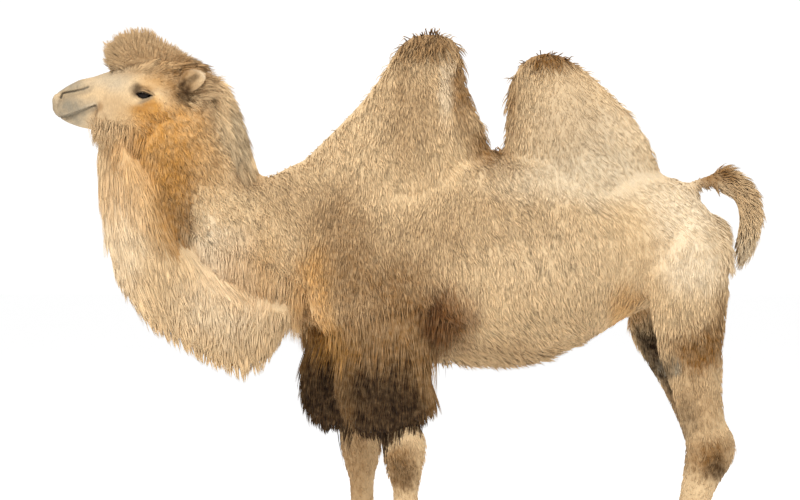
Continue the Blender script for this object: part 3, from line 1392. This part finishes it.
def face_settings(points, normals, rng):
    x, _, z = points.T
    count = len(points)
    cheek = ease(-1080, -900, x)
    jaw = ease(1800, 1700, z) * ease(-1090, -960, x)
    back = ease(-860, -760, x)
    crown = ease(1905, 1945, z) * ease(-1060, -1020, x)
    by_eye = ease(60, 25, from_place(points, EYE_PLACE))
    length = 8 + 8 * cheek + 20 * jaw + 14 * back
    length = length + (74 + 12 * ease(-960, -1010, x)) * crown - 8 * by_eye * cheek
    length += (10 - length) * in_ear(points)
    length = np.maximum(length, 4) * (0.7 + 0.6 * rng.random(count))
    return {
        "lie": lie_of_coat(points, normals),
        "length": length,
        "width": 1.9 + 0.08 * length * (0.8 + 0.4 * rng.random(count)),
        "rings": 2,
        "lift": 0.22 + 0.15 * back + 0.1 * jaw + 0.35 * crown,
        "settle": 0.05,
        "curl": 0.15 + 0.3 * back,
        "clump": 0.15 + 0.3 * cheek,
        "shade": 0.1 + 0.9 * rng.random(count),
    }


grow_coat("face_hair", SKIN, number_of(24000), on_face, face_settings, "face_coat", 4, pieces=2)


# %% [markdown]
# ## Long hair
# Long locks grow on the core and end near the outline of the solids. They are straight and hang under
# their own weight from the throat and forearms, and stand up and fan forwards on the crown.

# %% How long locks lie and how far they reach
NEAREST = 30  # millimetres from a place within which its way rules


def reach(places, ways, most):
    """How far each place is from the outline of all the solids along its way, up to a limit."""
    far = []
    for place, way in zip(places.tolist(), ways.tolist()):
        distance = OUTLINE_TREE.ray_cast(Vector(place), Vector(way), most)[3]
        far.append(most if distance is None else distance)
    return np.array(far)


def aimed(points, places):
    """Ways on the side plan from the nearest places, each an X, Z and angle below the line to the tail."""
    places = np.array(places, float)
    gaps = (points[:, None, 0] - places[:, 0]) ** 2 + (points[:, None, 2] - places[:, 1]) ** 2
    away = (gaps + NEAREST**2) ** -2.0
    angle = np.radians(places[:, 2])
    return unit(np.column_stack([away @ np.cos(angle), np.zeros(len(points)), -(away @ np.sin(angle))]))


def laid(way, normals, held=0.85, free=0.4):
    """Turns ways along the surface where they go into it, and less where they hang away from it."""
    into = np.sum(way * normals, axis=1, keepdims=True)
    return unit(way - normals * into * np.where(into < 0, held, free))


def long_settings(node, places, longest, width, rings, fan=0.0, lift=0.15, curl=0.1, clump=0.5, every=7,
                  hang=0.0, spill=6.0, shortest=18, ragged=0.6):
    """Settings for the long locks of one hair solid."""
    def settings(points, normals, rng):
        count = len(points)
        way = aimed(points, places)
        way[:, 1] += fan * np.sign(points[:, 1]) + 0.12 * noise(points, 60, 41)
        way[:, 0] += 0.16 * noise(points, 70, 42) + 0.08 * rng.normal(size=count)
        way = unit(way)
        lie = laid(way, normals)
        room = reach(points + normals, unit(lie + 0.15 * normals), longest)
        length = np.minimum(room + spill, longest) * (ragged + (1.04 - ragged) * rng.random(count))
        made = {
            "lie": lie, "length": np.maximum(length, shortest),
            "width": width * (0.7 + 0.6 * rng.random(count)), "rings": rings,
            "lift": lift, "settle": 0.02, "curl": curl, "turns": 0.8,
            "clump": clump * np.ones(count), "every": every, "hang": hang,
            "shade": 0.1 + 0.9 * rng.random(count) + 0.3 * noise(points, 28, 43),
        }
        if node in MARKS_OF:
            made["marks"] = MARKS_OF[node](points)
        return made
    return settings


def grow_long(name, node, count, settings, slot_name, seed):
    mine = (core_outside & (core_owner == HAIR_NODES.index(node))).astype(float)
    return grow_coat(name, CORE, number_of(count), lambda places: mine, settings, slot_name, seed)


# %% [markdown]
# Each mass of long hair has places on the side plan with the way its locks lie there. The beard
# falls from the throat, sweeps back along the lower neck and ends in wisps.

# %% The beard and the hair under the neck
BEARD_LIE = [(-1090, 1700, 95), (-1080, 1500, 85), (-1000, 1600, 80), (-930, 1450, 72), (-950, 1200, 70),
             (-820, 1300, 72), (-700, 1180, 80), (-600, 1000, 88), (-450, 1080, 95), (-760, 1000, 80)]
beard_settings = long_settings("beard", BEARD_LIE, 230, 6.5, 4, spill=18, shortest=60, ragged=0.4,
                               clump=0.5, every=14)
grow_long("beard_locks", "beard", 6500, beard_settings, "long_pale_hair", 5)

# %% [markdown]
# The forearms carry thick sleeves of dark hair down to the knees. Both are made alike, and the far
# one stands further forwards.

# %% The sleeves of dark hair on the forearms
SLEEVE_LIE = [(-200, 1050, 95), (50, 1050, 85), (0, 900, 90), (-150, 800, 95), (80, 760, 78), (-60, 700, 92)]
FAR_SLEEVE_LIE = [(x - FAR_LEG_FORWARD, z, angle) for x, z, angle in SLEEVE_LIE]
for side_name, lie, seed in (("left", SLEEVE_LIE, 6), ("right", FAR_SLEEVE_LIE, 7)):
    node = f"{side_name}_forearm_hair"
    sleeve_settings = long_settings(node, lie, 200, 6.0, 4, lift=0.2, spill=22, ragged=0.45)
    grow_long(f"{side_name}_sleeve_locks", node, 2800, sleeve_settings, "long_dark_hair", seed)

# %% [markdown]
# On the crown the locks stand up and fan out and forwards. On the nape they lie back along the neck.

# %% The crown's topknot and the nape's mane
CROWN_LIE = [(-1050, 1960, 215), (-1040, 2020, 225), (-980, 2050, 250), (-900, 2060, 275), (-820, 2020, 300),
             (-760, 1960, 320), (-1000, 1930, 200), (-900, 1930, 270), (-720, 1880, 350)]
NAPE_LIE = [(-680, 1920, 20), (-640, 1850, 45), (-600, 1750, 62), (-560, 1650, 68), (-510, 1570, 60)]
crown_settings = long_settings("forelock", CROWN_LIE, 125, 3.8, 3, fan=0.25, lift=0.3,
                               curl=0.2, clump=0.6, spill=24, ragged=0.35)
grow_long("topknot_locks", "forelock", 5000, crown_settings, "long_pale_hair", 8)
nape_settings = long_settings("nape_mane", NAPE_LIE, 130, 5.0, 3, fan=0.1, lift=0.3, spill=18, ragged=0.4)
grow_long("mane_locks", "nape_mane", 3000, nape_settings, "long_pale_hair", 9)

# %% [markdown]
# Where short wool ends and long hair begins there is no edge on the animal. A fringe of locks that
# grow longer towards the line runs over it and hides it.

# %% The fringe where short hair runs over into the beard
FRINGE = [(-1110, 1728), (-1040, 1712), (-960, 1690), (-925, 1620), (-900, 1510), (-850, 1400), (-778, 1320),
          (-680, 1272), (-581, 1238), (-480, 1195), (-394, 1155)]
FRINGE_LIE = [(-1090, 1740, 100), (-1020, 1710, 95), (-950, 1700, 92), (-900, 1620, 92), (-880, 1500, 88),
              (-800, 1340, 84), (-620, 1250, 86), (-420, 1170, 92)]
FRINGE_WIDTH = 70  # millimetres on each side of the line within which the fringe grows


def in_fringe(points):
    """How densely the fringe grows: most at the line, and none far from it."""
    gap = gap_to(points, FRINGE)
    return ease(1, 0, gap / FRINGE_WIDTH) * ease(1120, 1020, -points[:, 0])


def fringe_settings(points, normals, rng):
    count = len(points)
    gap = gap_to(points, FRINGE)
    way = aimed(points, FRINGE_LIE)
    way[:, 0] += 0.3 * noise(points, 60, 45) + 0.12 * rng.normal(size=count)
    way[:, 1] += 0.1 * noise(points, 40, 44)
    jaw = ease(-990, -1110, points[:, 0])
    longest = (175 - 145 * jaw) * (0.2 + 0.8 * ease(FRINGE_WIDTH, 10, gap))
    return {
        "lie": laid(way, normals, free=0.0),
        "length": longest * (0.4 + 0.7 * rng.random(count)),
        "width": 4.6 * (0.7 + 0.6 * rng.random(count)), "rings": 3,
        "lift": 0.25, "settle": 0.04, "curl": 0.25, "clump": 0.6 * np.ones(count), "every": 10, "hang": 0.4,
        "shade": 0.4 + 0.7 * rng.random(count),
    }


grow_coat("fringe_locks", SKIN, number_of(8500), in_fringe, fringe_settings, "long_pale_hair", 10)

# %% [markdown]
# A few long fine wisps stand out behind each ear.

# %% The wisps behind the ears
NAPE_SPOT = (-722, 1872)


def on_nape(points):
    return ease(55, 20, from_place(points, NAPE_SPOT)) * (1 - in_ear(points))


def wisp_settings(points, normals, rng):
    count = len(points)
    way = aimed(points, [(-760, 1900, -25), (-690, 1850, 5)])
    way[:, 1] += 0.3 * np.sign(points[:, 1])
    return {
        "lie": laid(way, normals), "length": 90 * (0.4 + 0.6 * rng.random(count)),
        "width": 3.4 * (0.7 + 0.6 * rng.random(count)), "rings": 3,
        "lift": 0.35, "settle": 0.15, "curl": 0.25, "clump": 0.6 * np.ones(count), "every": 6,
        "shade": rng.random(count),
    }


grow_coat("nape_wisps", SKIN, number_of(900), on_nape, wisp_settings, "long_pale_hair", 13)

# %% [markdown]
# The brown hair of the upper arms hangs over the tops of the sleeves and darkens towards them.

# %% The hair of the upper arms, which runs over the sleeves
SLEEVE_TOP = [(-260, 965), (-160, 1040), (-30, 1075), (80, 1065), (118, 1020)]
ARM_LIE = [(-200, 1050, 80), (0, 1100, 84), (100, 1050, 96)]


def with_far_leg(points):
    """The same points, with those of the right foreleg moved back to the left one's place."""
    return points + np.outer(FAR_LEG_FORWARD * (points[:, 1] > 0), (1, 0, 0))


def over_sleeves(points):
    return ease(70, 10, gap_to(with_far_leg(points), SLEEVE_TOP)) * (np.abs(points[:, 1]) > 120) * in_the_open


def arm_settings(points, normals, rng):
    count = len(points)
    marks = markings(points)
    raise_mark(marks, "brown", 0.7)
    darken(marks, 0.5 * ease(1090, 1000, points[:, 2]) * rng.random(count))
    return {
        "lie": laid(aimed(with_far_leg(points), ARM_LIE), normals, free=0.0), "marks": marks,
        "length": 95 * (0.5 + 0.6 * rng.random(count)), "width": 5.0 * (0.7 + 0.6 * rng.random(count)),
        "rings": 3, "lift": 0.45, "settle": 0.12, "curl": 0.12, "clump": 0.5 * np.ones(count), "every": 6,
        "hang": 0.2, "shade": 0.4 + 0.8 * rng.random(count),
    }


grow_coat("arm_locks", SKIN, number_of(2000), over_sleeves, arm_settings, "long_dark_hair", 11)

# %% [markdown]
# Camels have thick lashes that keep out sand: here, stiff dark hairs along the upper lids.

# %% Lashes
LASHES = 70  # on each side
SHORTEST_LASH, LONGEST_LASH, LASH_WIDTH = 9, 15, 1.5  # millimetres


def grow_lashes():
    """Dark lashes along both upper lids."""
    rng = np.random.default_rng(12)
    share = rng.random(2 * LASHES)
    side = np.repeat((LEFT, RIGHT), LASHES)
    x = UPPER_LID[0][0] + 3 + share * (UPPER_LID[-1][0] - UPPER_LID[0][0] - 6)
    z = height_on(UPPER_LID, x) + 1.5 + 1.5 * rng.random(2 * LASHES)
    found = [SKIN_TREE.find_nearest(Vector(spot)) for spot in zip(x, side * (EYE[1] + EYE_RADIUS + 4), z)]
    roots = np.array([place for place, *_ in found])
    way = np.column_stack([0.9 * (share - 0.55), 1.1 * side, np.full(2 * LASHES, -0.5)])
    marks = np.zeros((2 * LASHES, len(PIGMENTS)))
    darken(marks, 0.95)
    normals = unit(np.column_stack([np.zeros(2 * LASHES), 0.4 * side, np.ones(2 * LASHES)]))
    length = SHORTEST_LASH + (LONGEST_LASH - SHORTEST_LASH) * rng.random(2 * LASHES)
    shape, along = locks(roots, normals, unit(way), length, np.full(2 * LASHES, LASH_WIDTH), 3, rng,
                         lift=-0.3, settle=0.25, clump=0.3 * np.ones(2 * LASHES), every=4)
    root_uv = np.array([SKIN[3][index].mean(axis=0) for _, _, index, _ in found])
    piece = new_piece("lashes", lock_mesh("lashes", shape, along, root_uv, marks, rng.random(2 * LASHES)))
    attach(piece, "root")
    piece.data.materials.append(MATERIALS["long_dark_hair"])


grow_lashes()


# %% [markdown]
# ## Eyes and nails
# The eye is a smooth wet ball: a dark brown iris, a level oval pupil and a dark rim. The nails are the
# short blunt horns on the two toes of each foot, dull, dark and worn paler at the edge.

# %% Eyes
EYE_AROUND, EYE_ALONG = 64, 40
CORNEA_RISE = 1.2  # millimetres that the clear front stands out


def eyeball(side):
    """A smooth eyeball whose pole looks outwards and a little forwards."""
    look = unit(np.array([-0.42, side * 0.9, 0.05]))
    level = unit(np.cross((0, 0, 1), look))
    upright = np.cross(look, level)
    turn = np.linspace(0, 2 * math.pi, EYE_AROUND, endpoint=False)
    tilt = np.linspace(0, math.pi, EYE_ALONG + 1)[1:-1]
    radius = EYE_RADIUS - 0.3 + CORNEA_RISE * bell(tilt, 0.45)
    ring = np.cos(turn)[:, None] * level + np.sin(turn)[:, None] * upright
    body = radius[:, None, None] * (np.cos(tilt)[:, None, None] * look + np.sin(tilt)[:, None, None] * ring)
    poles = np.array([look * (EYE_RADIUS - 0.3 + CORNEA_RISE), -look * (EYE_RADIUS - 0.3)])
    points = np.concatenate([body.reshape(-1, 3), poles]) + EYE * (1, side, 1)
    rows, last = EYE_ALONG - 1, (EYE_ALONG - 1) * EYE_AROUND
    here = np.arange(EYE_AROUND)
    after = (here + 1) % EYE_AROUND
    faces = [np.column_stack([np.full(EYE_AROUND, last), here, after])]
    for row in range(rows - 1):
        base = row * EYE_AROUND
        faces.append(np.column_stack([base + here, base + EYE_AROUND + here, base + after]))
        faces.append(np.column_stack([base + after, base + EYE_AROUND + here, base + EYE_AROUND + after]))
    base = (rows - 1) * EYE_AROUND
    faces.append(np.column_stack([np.full(EYE_AROUND, last + 1), base + after, base + here]))
    faces = np.concatenate(faces)
    name = "left_eyeball" if side == LEFT else "right_eyeball"
    mesh = new_mesh(name, metres(points), faces)
    from_axis = points - EYE * (1, side, 1)
    gaze = np.column_stack([from_axis @ level, from_axis @ upright, from_axis @ look]) / EYE_RADIUS
    add_values(mesh, "gaze", gaze)
    return new_piece(name, mesh)


def eye_material():
    graph = Graph("wet_eye", 0.04, specular=0.12)
    across, height, depth = graph.attribute("gaze")
    flat = graph.node("ShaderNodeCombineXYZ")
    graph.link(graph.maths("MULTIPLY", across, 0.55), flat.inputs[0])
    graph.link(height, flat.inputs[1])
    length = graph.node("ShaderNodeVectorMath", operation="LENGTH")
    graph.link(flat.outputs[0], length.inputs[0])
    pupil = graph.span(length.outputs["Value"], 0.16, 0.2, 0.0, 1.0)
    fibres = graph.noise(420, 3)
    iris = graph.mix(fibres, srgb(9, 5, 3), srgb(24, 13, 7))
    colour = graph.mix(pupil, srgb(6, 5, 5), iris)
    rim = graph.span(depth, 0.52, 0.66, 1.0, 0.0)
    return graph.finish(graph.mix(rim, colour, srgb(14, 9, 7)))


MATERIALS["eye"] = eye_material()
for side, side_name in ((LEFT, "left"), (RIGHT, "right")):
    ball = eyeball(side)
    ball.data.materials.append(MATERIALS["eye"])
    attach(ball, "root")
    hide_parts(f"{side_name}_eye")


# %% [markdown]
# The nails keep their own solids. Their corners are rounded off, and the horn is streaked along its
# length and worn paler in places.

# %% Nails
def nail_material():
    graph = Graph("horn", 0.5, specular=0.4)
    grain = graph.noise(1.0, 5, graph.scaled(graph.place(), (60, 60, 420)))
    worn = graph.span(graph.noise(90, 4), 0.45, 0.7, 0.0, 0.7)
    colour = graph.mix(grain, srgb(52, 42, 34), srgb(104, 88, 70))
    graph.bump(grain, 0.0008, 0.6)
    return graph.finish(graph.mix(worn, colour, srgb(140, 122, 98)))


MATERIALS["nail"] = nail_material()
NAILS = [name for name in NODES if name.endswith("_nail")]
for name in NAILS:
    nail = NODES[name]
    nail.data.materials.clear()
    nail.data.materials.append(MATERIALS["nail"])
    weld = nail.modifiers.new("weld", "WELD")
    weld.merge_threshold = 0.0001
    rounding = nail.modifiers.new("rounding", "SUBSURF")
    rounding.levels = rounding.render_levels = 2
    nail.data.polygons.foreach_set("use_smooth", np.ones(len(nail.data.polygons), bool))
print("eyes 2, nails", len(NAILS))


# %% [markdown]
# ## Camera, floor and light
# The camera stands 8 m away at the middle of the animal's height. The floor and backdrop are white
# and the light is soft, from large boxes above and before the camel.

# %% Camera
CAMERA_PLACE = (-0.0345, -8.0, 1.302)
SENSOR = 36.0
VIEW_WIDTH = 2.8  # metres across the picture, at the animal
camera_data = bpy.data.cameras.new("camera")
camera_data.sensor_width = SENSOR
camera_data.lens = SENSOR * -CAMERA_PLACE[1] / VIEW_WIDTH
camera_data.clip_end = 100
camera = bpy.data.objects.new("camera", camera_data)
camera.location = CAMERA_PLACE
camera.rotation_euler = (math.radians(90), 0, 0)
bpy.context.scene.collection.objects.link(camera)
bpy.context.scene.camera = camera
bpy.context.scene.view_settings.view_transform = "Standard"

# %% [markdown]
# The floor shines a little, like a table lit from below, so that it stays white round the feet. The
# backdrop looks white to the camera but lights the camel less, which keeps some depth in the coat.

# %% Floor and light
FLOOR_HALF = 60.0
SKY_LIGHT, SKY_SEEN = 0.58, 1.08  # how strong the backdrop shines on the camel, and how white it looks
floor_points = np.array([(-1, -1, 0), (1, -1, 0), (1, 1, 0), (-1, 1, 0)]) * FLOOR_HALF
floor = new_piece("floor", new_mesh("floor", floor_points, np.array([[0, 1, 2, 3]])))
floor_graph = Graph("floor", 0.9)
floor_graph.finish(floor_graph.mix(floor_graph.noise(0.4), (0.93, 0.93, 0.93, 1), (0.95, 0.95, 0.95, 1)))
floor_graph.shader.inputs["Emission Color"].default_value = (1, 1, 1, 1)
floor_graph.shader.inputs["Emission Strength"].default_value = 0.45  # lit from below, as a studio table is
floor.data.materials.append(floor_graph.material)
floor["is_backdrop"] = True
world = bpy.data.worlds.new("studio")
world.use_nodes = True
backdrop = world.node_tree.nodes["Background"]
backdrop.inputs["Color"].default_value = (1, 1, 1, 1)
seen = world.node_tree.nodes.new("ShaderNodeLightPath")
strength = world.node_tree.nodes.new("ShaderNodeMapRange")
strength.inputs["To Min"].default_value = SKY_LIGHT
strength.inputs["To Max"].default_value = SKY_SEEN
world.node_tree.links.new(seen.outputs["Is Camera Ray"], strength.inputs["Value"])
world.node_tree.links.new(strength.outputs["Result"], backdrop.inputs["Strength"])
bpy.context.scene.world = world
LAMP_AIM = Vector((0, 0, 1.1))
LAMPS = {  # place, size in metres, watts
    "key": ((-1.4, -4.4, 4.6), 2.2, 260),
    "fill": ((3.4, -4.6, 2.6), 2.5, 60),
    "top": ((0.4, 0.6, 5.2), 3.0, 110),
}
for name, (place, size, power) in LAMPS.items():
    lamp_data = bpy.data.lights.new(name, "AREA")
    lamp_data.size = size
    lamp_data.energy = power
    lamp = bpy.data.objects.new(name, lamp_data)
    lamp.location = place
    lamp.rotation_euler = (LAMP_AIM - Vector(place)).to_track_quat("-Z", "Y").to_euler()
    bpy.context.scene.collection.objects.link(lamp)


# %% [markdown]
# ## Measure and finish
# The looks stay inside the solids' box, but for the tips of a few hairs.

# %% Write the sizes and finish
low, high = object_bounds()
for what, (first, last) in {"solids": (cad_low, cad_high), "looks": (low, high)}.items():
    print(what, [round(end - start, 3) for start, end in zip(first, last)], "metres")
